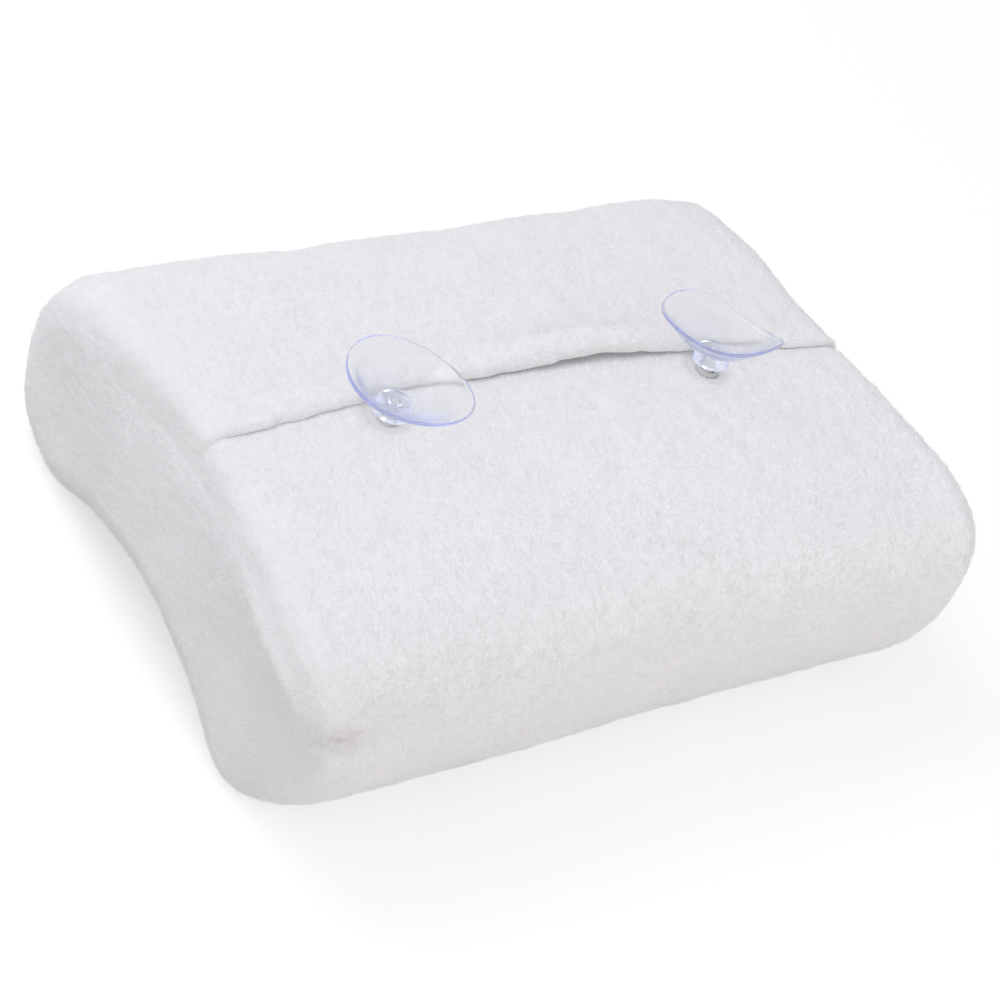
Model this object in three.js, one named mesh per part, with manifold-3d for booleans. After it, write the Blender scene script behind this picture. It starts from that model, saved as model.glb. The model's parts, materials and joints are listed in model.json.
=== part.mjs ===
// Contoured bath pillow: a foam core in a plush cover that laps shut across the back,
// with two clear suction cups held by tacks through the cover.
// Millimetres. X runs along the pillow, Y from its near edge to its far edge, Z is up.
// It lies on the two lobes of its contoured front, with its back and suction cups upwards.
// The origin is on the table, under the middle.

import * as THREE from 'three';
import { mergeVertices } from 'three/addons/utils/BufferGeometryUtils.js';
import Module from 'manifold-3d';

const { clamp, degToRad, euclideanModulo, smoothstep } = THREE.MathUtils;
const wasm = await Module();
wasm.setup();

// Gap between pieces that lie against each other
const clearance = 0.35;

// Overall sizes
const pillowLength = 305; // between the rims of the two ends
const pillowDepth = 217; // near edge to far edge
const backHeight = 92.3; // table to the flat of the back
const endRound = 14.5; // radius where the long faces turn into the ends
const endCrown = 4.2; // swell in the middle of each end
const backCrown = 1.2; // swell of the back along the middle of its length

// Heights and insets of the section, from the near or far edge, or down from the back
const nearEdgeHeight = 52;
const farEdgeHeight = 48;
const nearShoulderInset = 11.5;
const nearShoulderDrop = 10.3;
const farShoulderInset = 13.5;
const farShoulderDrop = 21.3;
const farSlopeInset = 44.5;
const farSlopeDrop = 10.5;
const plateauInset = 38.5;
const heelInset = 11.5;
const nearHeelHeight = 16;
const farHeelHeight = 10;
const nearFootInset = 34.5;
const farFootInset = 41.5;
const footCut = 0.5; // how deep the table flattens each lobe
const footHalfWidth = 4; // half the flat strip under each lobe
const hollowRise = 17.5; // table to the roof of the neck hollow
const hollowHalfWidth = 37; // middle of the hollow to its flanks
const hollowFlankDrop = 6.5; // flanks below the roof

// Drawn-in and swollen stretches of the end outline
const slitWaist = 5;
const slopeWaist = 1;
const plateauSwell = 7;
const shoulderSwell = 5;
const edgeWaist = 2;
const heelWaist = 3;

// Lapped opening across the back
const slitOffset = 4; // from the middle of the depth, at the ends of the slit
const slitDrop = 1; // slit below the flat of the back
const slitBow = 9; // how far the slit bows towards the far edge
const slitSkew = 3.3; // left end of the slit further, right end nearer
const slitStraightReach = 44; // cloth that follows the bow fully, on each side of the slit
const slitFadeReach = 115; // cloth beyond this doesn't follow it
const clothThickness = 3;
const flapRise = 1.6; // flap edge above the plain line of the back
const flapRun = 40; // cloth over which the flap settles down to that line
const lipLift = 2.2; // gape of the flap between the suction cups
const lipRun = 22; // cloth that the gape lifts
const lipMiddle = 0.18; // place of the widest gape, from -1 left to 1 right
const lipSpread = 0.42; // half length of the gaping stretch
const underlap = 24; // cloth of the lower panel that lies under the flap
const dipRun = 36; // cloth over which the lower panel dips under the flap
const lapRamp = 9; // foam between one and two layers of cloth

// Tape behind the lower panel, and binding of the seams
const tapeThickness = 1;
const tapeReach = 20; // from the slit down behind the lower panel
const tapeLength = 220;
const bindingThickness = 1.2;
const bindingHalfAngle = 18; // degrees of the rounded end, each side of its seam

// Suction cups and their tacks
const cupSpread = 74.5; // middle of the pillow to each cup
const cupRadius = 24;
const cupHeight = 19; // cover to the rim
const cupWall = 1.6;
const lipWidth = 0.9; // flat ring of the rim
const dishFloor = 10; // cover to the bottom of the dish
const bossRadius = 7;
const bossFromFlap = 2.5; // flap edge to the boss
const bossHeight = 5.2;
const waistRadius = 5.4;
const waistHeight = 6.8;
const rockLimit = 15; // degrees that a tack rocks each way from square to the cover
const rockMargin = 0.2;
const shankRadius = 2;
const boreSlack = 0.3; // bore over the shank, in radius
const tackTop = 6.4; // cover to the tip of the tack
const headRadius = 7;
const headThickness = 1.4;
const eyeletWidth = 1.5;
const cupLeans = [
  { side: 'left', sign: -1, towardsFlap: 0, sideways: 3.8 },
  { side: 'right', sign: 1, towardsFlap: 8, sideways: 1.5 },
];

// Colours
const plush = { color: 0xe9e8ec, roughness: 0.95, metalness: 0 };
const foam = { color: 0xf3e9c8, roughness: 0.9, metalness: 0 };
const webbing = { color: 0xf2f2f2, roughness: 0.8, metalness: 0 };
const thread = { color: 0xf6f6f8, roughness: 0.7, metalness: 0 };
const clearVinyl = { color: 0xd4daf2, roughness: 0.08, metalness: 0, transparent: true, opacity: 0.4 };
const tackPlastic = { color: 0xeef0f4, roughness: 0.3, metalness: 0 };

// Section of the pillow, clockwise from the slit as seen from the right: depth, height, swell of the ends
const nearEdge = -pillowDepth / 2;
const farEdge = pillowDepth / 2;
const sectionPoints = {
  slit: [slitOffset, backHeight - slitDrop, -slitWaist],
  farSlope: [farEdge - farSlopeInset, backHeight - farSlopeDrop, -slopeWaist],
  farShoulder: [farEdge - farShoulderInset, backHeight - farShoulderDrop, 0],
  farEdge: [farEdge, farEdgeHeight, 0],
  farHeel: [farEdge - heelInset, farHeelHeight, 0],
  farFoot: [farEdge - farFootInset, -footCut, 0],
  farFlank: [hollowHalfWidth, hollowRise - hollowFlankDrop, 0],
  hollow: [0, hollowRise, 0],
  nearFlank: [-hollowHalfWidth, hollowRise - hollowFlankDrop, 0],
  nearFoot: [nearEdge + nearFootInset, -footCut, 0],
  nearHeel: [nearEdge + heelInset, nearHeelHeight, -heelWaist],
  nearEdge: [nearEdge, nearEdgeHeight, -edgeWaist],
  nearShoulder: [nearEdge + nearShoulderInset, backHeight - nearShoulderDrop, shoulderSwell],
  plateau: [nearEdge + plateauInset, backHeight, plateauSwell],
};
const pointNames = Object.keys(sectionPoints);
const stepsPerPoint = 60;
const outline = new THREE.CatmullRomCurve3(
  Object.values(sectionPoints).map(([y, z, swell]) => new THREE.Vector3(pillowLength / 2 + swell, y, z)),
  true,
);
outline.arcLengthDivisions = stepsPerPoint * pointNames.length;
const girth = outline.getLength();
const arcOf = Object.fromEntries(
  pointNames.map((name, i) => [name, outline.getLengths()[i * stepsPerPoint]]),
);

// Half length, place and outward direction of the section, so far round from the slit
function sectionAt(arc) {
  const share = euclideanModulo(arc, girth) / girth;
  const point = outline.getPointAt(share);
  const run = outline.getTangentAt(share);
  const outward = new THREE.Vector2(-run.z, run.y).normalize();
  return { halfLength: point.x, point, outward };
}

// Distance round from the slit: up the flap it is positive, down the lower panel negative
function fromSlit(arc) {
  const ahead = euclideanModulo(arc, girth);
  return ahead > girth / 2 ? ahead - girth : ahead;
}

// How far the bow of the slit carries the cloth round with it
function slitShift(arc, middle) {
  const fade = 1 - smoothstep(Math.abs(fromSlit(arc)), slitStraightReach, slitFadeReach);
  return fade * (slitBow * (1 - middle ** 2) - slitSkew * middle);
}

// A point so far inside the plain skin. Along the length it goes from -1 to 1 between the
// rounded ends, and on to -2 and 2 round them.
function skinPoint(arc, along, inside) {
  const middle = clamp(along, -1, 1);
  const { halfLength, point, outward } = sectionAt(arc + slitShift(arc, middle));
  const turn = (along - middle) * Math.PI / 2;
  const crown = backCrown * (1 - middle ** 2) * Math.max(0, outward.y);
  const reach = endRound + crown - inside;
  const out = reach * Math.cos(turn) - endRound;
  return new THREE.Vector3(
    middle * (halfLength - endRound) + reach * Math.sin(turn),
    point.y + out * outward.x,
    point.z + out * outward.y,
  );
}

// A point of an end, so far inside it. Share 1 is its rim and share 0 its middle.
function endPoint(arc, sign, share, inside) {
  const rim = skinPoint(arc, 2 * sign, inside);
  const middleHeight = (backHeight + hollowRise) / 2;
  const centre = new THREE.Vector3(sign * (pillowLength / 2 - inside), 0, middleHeight);
  const point = centre.lerp(rim, share);
  point.x += sign * endCrown * (1 - share ** 2);
  return point;
}

// Layers of the cover over the foam
const lapDip = clothThickness + clearance - flapRise;

function flapRiseAt(reach) {
  return flapRise * (1 - smoothstep(reach, 0, flapRun));
}

function lipLiftAt(reach, along) {
  const gape = 1 - smoothstep(Math.abs(along - lipMiddle), 0, lipSpread);
  return lipLift * gape * (1 - smoothstep(reach, 0, lipRun));
}

function outerFace(arc, along) {
  const reach = fromSlit(arc);
  return reach < 0
    ? lapDip * (1 - smoothstep(-reach, 0, dipRun))
    : -flapRiseAt(reach) - lipLiftAt(reach, along);
}

function underlapFace(arc) {
  return clothThickness + clearance - flapRiseAt(fromSlit(arc));
}

function coverLining(arc) {
  const reach = fromSlit(arc);
  if (reach < 0) {
    return outerFace(arc, 0) + clothThickness;
  }
  const secondLayer = (clothThickness + clearance) * (1 - smoothstep(reach, underlap, underlap + lapRamp));
  return clothThickness - flapRiseAt(reach) + secondLayer;
}

function underCover(arc) {
  return coverLining(arc) + clearance;
}

function foamFace(arc, along) {
  const reach = fromSlit(arc);
  const behindTape = smoothstep(reach, -tapeReach - lapRamp, -tapeReach)
    * (1 - smoothstep(reach, underlap, underlap + lapRamp));
  const tapeRoom = (tapeThickness + clearance) * behindTape;
  const turn = Math.max(0, Math.abs(along) - 1) * Math.PI / 2;
  const bindingEdge = Math.PI / 4 - degToRad(bindingHalfAngle);
  const bindingSwell = (Math.sin(2 * turn) / Math.sin(2 * bindingEdge)) ** 2;
  const bindingRoom = (bindingThickness + clearance) * bindingSwell;
  return underCover(arc) + tapeRoom + bindingRoom;
}

// Places round the section and along the length where the solids have their vertices
function between(start, end, steps) {
  return Array.from({ length: steps }, (_, i) => start + (end - start) * (i + 1) / steps);
}

// Lowest place of the section between two of its points
function lowestArc(start, end) {
  const heights = between(start, end, stepsPerPoint).map((arc) => ({ arc, height: sectionAt(arc).point.z }));
  return heights.reduce((low, next) => (next.height < low.height ? next : low)).arc;
}

const farFootArc = lowestArc(arcOf.farHeel, arcOf.farFlank);
const nearFootArc = lowestArc(arcOf.nearFlank, arcOf.nearHeel);
const underlapArcs = [0, 0.25, 0.6, 1].map((share) => share * underlap);
const tapeArcs = [1, 0.55, 0.25].map((share) => girth - share * tapeReach);
const frontArcs = [
  ...between(underlap + lapRamp, arcOf.farSlope, 2),
  ...between(arcOf.farSlope, arcOf.farShoulder, 2),
  ...between(arcOf.farShoulder, arcOf.farEdge, 2),
  ...between(arcOf.farEdge, arcOf.farHeel, 3),
  ...between(arcOf.farHeel, farFootArc - footHalfWidth, 2),
  farFootArc + footHalfWidth,
  ...between(farFootArc + footHalfWidth, arcOf.farFlank, 2),
  ...between(arcOf.farFlank, arcOf.hollow, 2),
  ...between(arcOf.hollow, arcOf.nearFlank, 2),
  ...between(arcOf.nearFlank, nearFootArc - footHalfWidth, 2),
  nearFootArc + footHalfWidth,
  ...between(nearFootArc + footHalfWidth, arcOf.nearHeel, 2),
  ...between(arcOf.nearHeel, arcOf.nearEdge, 3),
  ...between(arcOf.nearEdge, arcOf.nearShoulder, 2),
  ...between(arcOf.nearShoulder, arcOf.plateau, 2),
  ...between(arcOf.plateau, girth - dipRun, 2),
];
const loopArcs = [
  ...underlapArcs,
  underlap + lapRamp,
  ...frontArcs,
  girth - tapeReach - lapRamp,
  ...tapeArcs,
].sort((a, b) => a - b);

const seamAlong = 1.5;
const seamGap = clearance / 2 / (endRound * Math.PI / 2);
const straightAlongs = [-1, -0.66, -0.33, 0, 0.33, 0.66, 1];
const wrapEnd = seamAlong - seamGap;
const wrapAlongs = [-wrapEnd, -1.25, ...straightAlongs, 1.25, wrapEnd];
const coreAlongs = [-2, -1.75, -1.5, -1.25, ...straightAlongs, 1.25, 1.5, 1.75, 2];

// Closed solids from rows of points. Rows go round the section, and points along the length.
function addQuad(faces, a, b, c, d) {
  faces.push([a, b, c], [a, c, d]);
}

function addGrid(faces, grid, isLoop, isOuter) {
  const rows = isLoop ? grid.length : grid.length - 1;
  for (let i = 0; i < rows; i += 1) {
    const row = grid[i];
    const next = grid[(i + 1) % grid.length];
    for (let j = 0; j + 1 < row.length; j += 1) {
      if (isOuter) addQuad(faces, row[j], row[j + 1], next[j + 1], next[j]);
      else addQuad(faces, row[j], next[j], next[j + 1], row[j + 1]);
    }
  }
}

function solidFrom(faces) {
  const whole = faces.filter(([a, b, c]) => !a.equals(b) && !b.equals(c) && !c.equals(a));
  const geometry = new THREE.BufferGeometry();
  const coordinates = whole.flat().flatMap((point) => point.toArray());
  geometry.setAttribute('position', new THREE.Float32BufferAttribute(coordinates, 3));
  return mergeVertices(geometry);
}

// A sheet of cloth from its two faces, closed along the edges that are free
function clothSolid(outer, inner, { isLoop = false, leftEdge = true, rightEdge = true } = {}) {
  const faces = [];
  addGrid(faces, outer, isLoop, true);
  addGrid(faces, inner, isLoop, false);
  const strip = (i, j, nextI, nextJ) => addQuad(
    faces, inner[i][j], inner[nextI][nextJ], outer[nextI][nextJ], outer[i][j],
  );
  const lastRow = outer.length - 1;
  const lastColumn = outer[0].length - 1;
  if (!isLoop) {
    for (let j = 0; j < lastColumn; j += 1) {
      strip(0, j, 0, j + 1);
      strip(lastRow, j + 1, lastRow, j);
    }
  }
  const rows = isLoop ? outer.length : lastRow;
  for (let i = 0; i < rows; i += 1) {
    const next = (i + 1) % outer.length;
    if (leftEdge) strip(next, 0, i, 0);
    if (rightEdge) strip(i, lastColumn, next, lastColumn);
  }
  return solidFrom(faces);
}

function toManifold(geometry) {
  const bare = geometry.clone();
  bare.deleteAttribute('normal');
  bare.deleteAttribute('uv');
  const merged = mergeVertices(bare, 1e-4);
  return new wasm.Manifold(new wasm.Mesh({
    numProp: 3,
    vertProperties: new Float32Array(merged.getAttribute('position').array),
    triVerts: new Uint32Array(merged.index.array),
  }));
}

function cutBy(geometry, cutters) {
  const whole = toManifold(geometry);
  const cut = cutters.reduce((rest, cutter) => rest.subtract(toManifold(cutter)), whole).getMesh();
  const result = new THREE.BufferGeometry();
  result.setAttribute('position', new THREE.Float32BufferAttribute(cut.vertProperties, 3));
  result.setIndex(new THREE.Uint32BufferAttribute(cut.triVerts, 1));
  return result;
}

function piece(name, geometry, finish) {
  geometry.computeVertexNormals();
  const mesh = new THREE.Mesh(geometry, new THREE.MeshStandardMaterial(finish));
  mesh.name = name;
  return mesh;
}

// A turned solid round local Z, from radius and height pairs
function turned(pairs, segments) {
  const profile = pairs.map(([radius, height]) => new THREE.Vector2(radius, height));
  return new THREE.LatheGeometry(profile, segments).rotateX(Math.PI / 2);
}

// Where each suction cup comes through the lower panel, and the cover's outward direction there
const cupArc = girth - bossRadius - bossFromFlap;

function cupSeat(sign) {
  const along = sign * cupSpread / (sectionAt(cupArc).halfLength - endRound);
  const onCover = (arc) => skinPoint(arc, along, outerFace(arc, along));
  const acrossPanel = onCover(cupArc + bossRadius / 2).sub(onCover(cupArc - bossRadius / 2));
  const outward = new THREE.Vector3(1, 0, 0).cross(acrossPanel).normalize();
  const upright = new THREE.Quaternion().setFromUnitVectors(new THREE.Vector3(0, 0, 1), outward);
  return { point: onCover(cupArc), outward, upright };
}

// The tack passes through cover and tape and rocks about the middle of the two
const stack = clothThickness + clearance + tapeThickness;
const pivotDepth = stack / 2;
const rock = degToRad(rockLimit);
const holeRadius = (shankRadius + pivotDepth * Math.sin(rock)) / Math.cos(rock) + rockMargin;
const eyeletRadius = holeRadius + eyeletWidth;

// How far from the pivot a ring stays clear of the cloth at the end of its rock
function clearOfCloth(radius) {
  return (pivotDepth + rockMargin + radius * Math.sin(rock)) / Math.cos(rock);
}

const bossFillet = 0.7;
const bossFoot = (radius) => clearOfCloth(radius) - pivotDepth;
const headFace = (radius) => -clearOfCloth(radius) - pivotDepth;
const headBottom = headFace(headRadius) - headThickness;
const headSwing = Math.hypot(headBottom + pivotDepth, headRadius) + clearance;

// A straight cutter round the local Z of a cup's seat
function seatCutter(sign, radius, top, bottom) {
  const { point, upright } = cupSeat(sign);
  const cutterSegments = 20;
  const cutter = new THREE.CylinderGeometry(radius, radius, top - bottom, cutterSegments);
  cutter.rotateX(Math.PI / 2).translate(0, 0, (top + bottom) / 2);
  return cutter.applyQuaternion(upright).translate(...point);
}

const pillow = new THREE.Group();

// Foam core, with a pocket behind each tack
function foamCore() {
  const middleDepth = foamFace(0, 2);
  const ringPoint = (arc, sign) => endPoint(arc, sign, 0.5, (middleDepth + foamFace(arc, 2)) / 2);
  const grid = loopArcs.map((arc) => [
    endPoint(arc, -1, 0, middleDepth),
    ringPoint(arc, -1),
    ...coreAlongs.map((along) => skinPoint(arc, along, foamFace(arc, along))),
    ringPoint(arc, 1),
    endPoint(arc, 1, 0, middleDepth),
  ]);
  const faces = [];
  addGrid(faces, grid, true, true);
  const pocketFloor = -pivotDepth - headSwing;
  const pockets = cupLeans.map(({ sign }) => seatCutter(sign, headSwing, bossHeight, pocketFloor));
  return cutBy(solidFrom(faces), pockets);
}

// Main panel of the cover: one wrap from the flap edge round to the underlap
function coverWrap() {
  const layers = [
    ...loopArcs.map((arc) => ({ arc, face: outerFace })),
    ...underlapArcs.map((arc) => ({ arc, face: underlapFace })),
  ];
  const outer = layers.map(({ arc, face }) => wrapAlongs.map((along) => {
    const point = skinPoint(arc, along, face(arc, along));
    point.z = Math.max(point.z, 0);
    return point;
  }));
  const inner = layers.map(({ arc, face }) => wrapAlongs.map(
    (along) => skinPoint(arc, along, face(arc, along) + clothThickness),
  ));
  const eyeletRoom = eyeletRadius + clearance;
  const holes = cupLeans.map(({ sign }) => seatCutter(sign, eyeletRoom, bossHeight, -2 * stack));
  return cutBy(clothSolid(outer, inner), holes);
}

// Crowned end panel, sewn to the wrap round its rim
function endPanel(sign) {
  const rimAlongs = [seamAlong + seamGap, 1.75, 2].map((along) => along * sign);
  const ringShares = [0.66, 0.33, 0];
  const faceRows = (inside) => loopArcs.map((arc) => {
    const row = [
      ...rimAlongs.map((along) => skinPoint(arc, along, inside)),
      ...ringShares.map((share) => endPoint(arc, sign, share, inside)),
    ];
    return sign > 0 ? row : row.reverse();
  });
  const freeEdge = { isLoop: true, leftEdge: sign > 0, rightEdge: sign < 0 };
  return clothSolid(faceRows(0), faceRows(clothThickness), freeEdge);
}

// Overlocked binding that closes the seam of an end panel, inside the cover
function seamBinding(sign) {
  const halfWidth = degToRad(bindingHalfAngle) / (Math.PI / 2);
  const alongs = [seamAlong - halfWidth, seamAlong, seamAlong + halfWidth].map((along) => along * sign);
  if (sign < 0) alongs.reverse();
  const faceRows = (depth) => loopArcs.map((arc) => alongs.map(
    (along) => skinPoint(arc, along, underCover(arc) + depth),
  ));
  return clothSolid(faceRows(0), faceRows(bindingThickness), { isLoop: true });
}

// Webbing tape behind the lower panel, which spreads the pull of the suction cups
function anchorTape() {
  const halfShare = tapeLength / 2 / (pillowLength / 2 - slitWaist - endRound);
  const alongs = straightAlongs.map((along) => along * halfShare);
  const arcs = [...tapeArcs, 0];
  const faceRows = (depth) => arcs.map((arc) => alongs.map(
    (along) => skinPoint(arc, along, underCover(arc) + depth),
  ));
  const holes = cupLeans.map(({ sign }) => seatCutter(sign, holeRadius, 0, -2 * stack));
  return cutBy(clothSolid(faceRows(0), faceRows(tapeThickness)), holes);
}

// Stitched eyelet that lines the hole in the cover
function eyelet() {
  const roll = 0.5;
  const edgeSegments = 24;
  return turned([
    [holeRadius, -clothThickness + roll],
    [holeRadius + roll, -clothThickness],
    [eyeletRadius - roll, -clothThickness],
    [eyeletRadius, -clothThickness + roll],
    [eyeletRadius, -roll],
    [eyeletRadius - roll, 0],
    [holeRadius + roll, 0],
    [holeRadius, -roll],
    [holeRadius, -clothThickness + roll],
  ], edgeSegments);
}

// Tack: a broad head inside the cover, and a shank in the bore of the cup
function tack() {
  const tipLength = 1.2;
  const tackSegments = 24;
  return turned([
    [0, headBottom],
    [headRadius, headBottom],
    [headRadius, headFace(headRadius)],
    [shankRadius, headFace(shankRadius)],
    [shankRadius, tackTop - tipLength],
    [shankRadius / 2, tackTop],
    [0, tackTop],
  ], tackSegments);
}

// Suction cup: boss with a blind bore, waist, and a dish with a flat lip
function suctionCup() {
  const cupSegments = 32;
  const boreRadius = shankRadius + boreSlack;
  const boreTop = tackTop + clearance;
  const rimFall = cupWall / 2; // the dish curves on this much below the flat lip
  const underDish = dishFloor - 2 * cupWall;
  const rootWall = 1.5 * cupWall; // the wall thins from this at the waist
  const dishRun = cupRadius - lipWidth;
  const flare = [0.3, 0.55, 0.78];
  const dishHeight = (share) => dishFloor + (cupHeight - rimFall - dishFloor) * share ** 2;
  const wallAt = (share) => rootWall - cupWall * share;
  return turned([
    [0, boreTop],
    [boreRadius, boreTop],
    [boreRadius, bossFoot(boreRadius)],
    [bossRadius - bossFillet, bossFoot(bossRadius - bossFillet)],
    [bossRadius, bossFoot(bossRadius) + bossFillet],
    [bossRadius, bossHeight],
    [waistRadius, waistHeight],
    [waistRadius + cupWall, underDish + cupWall / 2],
    ...flare.map((share) => [dishRun * share + cupWall / 2, dishHeight(share) - wallAt(share)]),
    [cupRadius, cupHeight - cupWall],
    [cupRadius, cupHeight],
    [cupRadius - lipWidth, cupHeight],
    ...flare.toReversed().map((share) => [dishRun * share, dishHeight(share)]),
    [0, dishFloor],
  ], cupSegments);
}

pillow.add(piece('foam_core', foamCore(), foam));
pillow.add(piece('cover_wrap', coverWrap(), plush));
pillow.add(piece('anchor_tape', anchorTape(), webbing));

for (const { side, sign, towardsFlap, sideways } of cupLeans) {
  pillow.add(piece(`${side}_end_panel`, endPanel(sign), plush));
  pillow.add(piece(`${side}_seam_binding`, seamBinding(sign), thread));

  const { point, outward, upright } = cupSeat(sign);
  const seat = new THREE.Group();
  seat.position.copy(point);
  seat.quaternion.copy(upright);
  seat.add(piece(`${side}_eyelet`, eyelet(), thread));
  pillow.add(seat);

  const rocker = new THREE.Group();
  const lean = new THREE.Euler(degToRad(-towardsFlap), degToRad(sideways), 0);
  rocker.position.copy(point).addScaledVector(outward, -pivotDepth);
  rocker.quaternion.copy(upright).multiply(new THREE.Quaternion().setFromEuler(lean));
  const tackMesh = piece(`${side}_cup_tack`, tack(), tackPlastic);
  const cupMesh = piece(`${side}_suction_cup`, suctionCup(), clearVinyl);
  tackMesh.position.z = pivotDepth;
  cupMesh.position.z = pivotDepth;
  rocker.add(tackMesh, cupMesh);
  pillow.add(rocker);
}

export default pillow;
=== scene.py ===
import json
import math

import bmesh
import bpy
import numpy as np
from mathutils import Matrix, Vector, noise


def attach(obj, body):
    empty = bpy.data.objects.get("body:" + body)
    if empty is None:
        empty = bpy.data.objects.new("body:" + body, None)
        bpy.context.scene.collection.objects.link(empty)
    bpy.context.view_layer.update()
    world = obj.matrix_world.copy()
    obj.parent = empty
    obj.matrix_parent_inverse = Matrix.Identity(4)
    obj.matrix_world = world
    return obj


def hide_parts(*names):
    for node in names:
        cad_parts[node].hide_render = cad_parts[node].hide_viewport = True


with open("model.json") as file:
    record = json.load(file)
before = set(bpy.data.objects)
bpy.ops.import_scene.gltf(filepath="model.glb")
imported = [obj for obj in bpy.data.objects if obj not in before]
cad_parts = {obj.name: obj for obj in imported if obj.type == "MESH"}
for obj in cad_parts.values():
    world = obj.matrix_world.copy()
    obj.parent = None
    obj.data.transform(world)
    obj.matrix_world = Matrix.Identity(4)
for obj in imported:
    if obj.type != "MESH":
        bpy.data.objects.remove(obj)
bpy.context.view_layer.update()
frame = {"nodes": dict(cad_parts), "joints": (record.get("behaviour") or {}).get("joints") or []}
nodes = frame["nodes"]
joints = {joint["name"]: joint for joint in frame["joints"]}
mm = 0.001
sharpAngle = 1.05  # radians; sharper edges stay crisp
print("frame loaded:", len(nodes), "nodes")


# small helpers

def ease(value, start, end):
    share = np.clip((value - start) / (end - start), 0, 1)
    return share * share * (3 - 2 * share)


def hill(value, middle, reach):
    return np.exp(-((value - middle) / reach) ** 2)


def newPiece(name, bm, material, body):
    for face in bm.faces:
        face.smooth = True
    for edge in bm.edges:
        edge.smooth = edge.calc_face_angle(0) < sharpAngle
    mesh = bpy.data.meshes.new(name)
    bm.to_mesh(mesh)
    bm.free()
    piece = bpy.data.objects.new(name, mesh)
    bpy.context.scene.collection.objects.link(piece)
    mesh.materials.append(material)
    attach(piece, body)
    return piece


def places(mesh):
    found = np.empty(len(mesh.vertices) * 3, np.float32)
    mesh.vertices.foreach_get("co", found)
    return found.reshape(-1, 3).astype(float)


def wavy(points, scale):
    return np.array([noise.noise(Vector(point) * scale) for point in points])


# shader maths on sockets

class Wire:
    def __init__(self, tree, socket=None):
        self.tree = tree
        self.socket = socket

    def node(self, kind, settings=None, values=None, output=0):
        made = self.tree.nodes.new(kind)
        for name, value in (settings or {}).items():
            if name == "stops":
                for stop, (place, colour) in zip(made.color_ramp.elements, value):
                    stop.position = place
                    stop.color = colour
            else:
                setattr(made, name, value)
        for name, value in (values or {}).items():
            if isinstance(value, Wire):
                self.tree.links.new(value.socket, made.inputs[name])
            else:
                made.inputs[name].default_value = value
        return Wire(self.tree, made.outputs[output] if made.outputs else None)

    def maths(self, operation, first, second):
        return self.node("ShaderNodeMath", {"operation": operation}, {0: first, 1: second})

    def __add__(self, other):
        return self.maths("ADD", self, other)

    def __sub__(self, other):
        return self.maths("SUBTRACT", self, other)

    def __rsub__(self, other):
        return self.maths("SUBTRACT", other, self)

    def __mul__(self, other):
        return self.maths("MULTIPLY", self, other)

    __radd__ = __add__
    __rmul__ = __mul__


def startMaterial(name):
    material = bpy.data.materials.new(name)
    material.use_nodes = True
    material.node_tree.nodes.clear()
    wire = Wire(material.node_tree)
    coords = wire.node("ShaderNodeTexCoord", output=3)
    return material, wire, coords


def speckle(wire, coords, size, detail=2.0):
    return wire.node("ShaderNodeTexNoise", None, {"Vector": coords, "Scale": 1 / size, "Detail": detail})


def mixColour(wire, share, first, second):
    return wire.node("ShaderNodeMix", {"data_type": "RGBA"}, {0: share, 6: first, 7: second}, output=2)


def bumpOf(wire, height, strength, distance):
    return wire.node("ShaderNodeBump", None, {"Height": height, "Strength": strength, "Distance": distance})


def closeMaterial(wire, values):
    shader = wire.node("ShaderNodeBsdfPrincipled", None, values)
    wire.node("ShaderNodeOutputMaterial", None, {"Surface": shader})


# materials of the pieces

plushLook = {
    "white": (0.905, 0.90, 0.92, 1),
    "shade": (0.865, 0.855, 0.87, 1),
    "pileWhite": (0.97, 0.965, 0.985, 1),
    "pileShade": (0.925, 0.915, 0.93, 1),
    "clump": 2.6 * mm,
    "fibre": 0.5 * mm,
    "drift": 55 * mm,
    "shadeByClump": 0.55,
    "shadeByDrift": 0.35,
    "shadeStart": 0.15,
    "grainByClump": 0.7,
    "grainByFibre": 0.5,
    "through": 0.3,
    # painted shade in the pinched near left corner: the plush colour there is darkened, in streaks where its
    # clumps stand
    "pinchShade": (0.74, 0.72, 0.725, 1),
    "pinchShadePlace": (-143.5 * mm, -103 * mm, 66 * mm),
    "pinchShadeSize": (17 * mm, 14 * mm, 9 * mm),
}
plushFinish = {"Roughness": 0.95, "Specular IOR Level": 0.05, "Sheen Weight": 0.35, "Sheen Roughness": 0.6}


def plushGrainAndPinchShade(wire, coords, white, shade):
    look = plushLook
    clump = speckle(wire, coords, look["clump"], 3)
    fibre = speckle(wire, coords, look["fibre"], 2)
    drift = speckle(wire, coords, look["drift"], 2)
    shadeShare = clump * look["shadeByClump"] + drift * look["shadeByDrift"] - look["shadeStart"]
    colour = mixColour(wire, shadeShare, white, shade)
    # painted shade: the colour darkens towards the pinched corner, streaked by the clumps
    patch = wire.node("ShaderNodeMapping", {"vector_type": "TEXTURE"}, {
        "Vector": coords, "Location": look["pinchShadePlace"], "Scale": look["pinchShadeSize"],
    })
    away = wire.node("ShaderNodeVectorMath", {"operation": "LENGTH"}, {0: patch}, output=1)
    near = wire.node("ShaderNodeClamp", None, {"Value": 1 - away})
    pinchShadeStreaks = wire.node("ShaderNodeClamp", None, {"Value": clump * 2.0 + fibre - 1.0})
    colour = mixColour(wire, near * near * (3 - 2 * near) * pinchShadeStreaks, colour, look["pinchShade"])
    return colour, clump, fibre


def plushClothMaterial():
    material, wire, coords = startMaterial("plushCloth")
    colour, clump, fibre = plushGrainAndPinchShade(wire, coords, plushLook["white"], plushLook["shade"])
    grain = clump * plushLook["grainByClump"] + fibre * plushLook["grainByFibre"]
    closeMaterial(wire, {"Base Color": colour, "Normal": bumpOf(wire, grain, 0.2, 0.6 * mm), **plushFinish})
    return material


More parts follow.
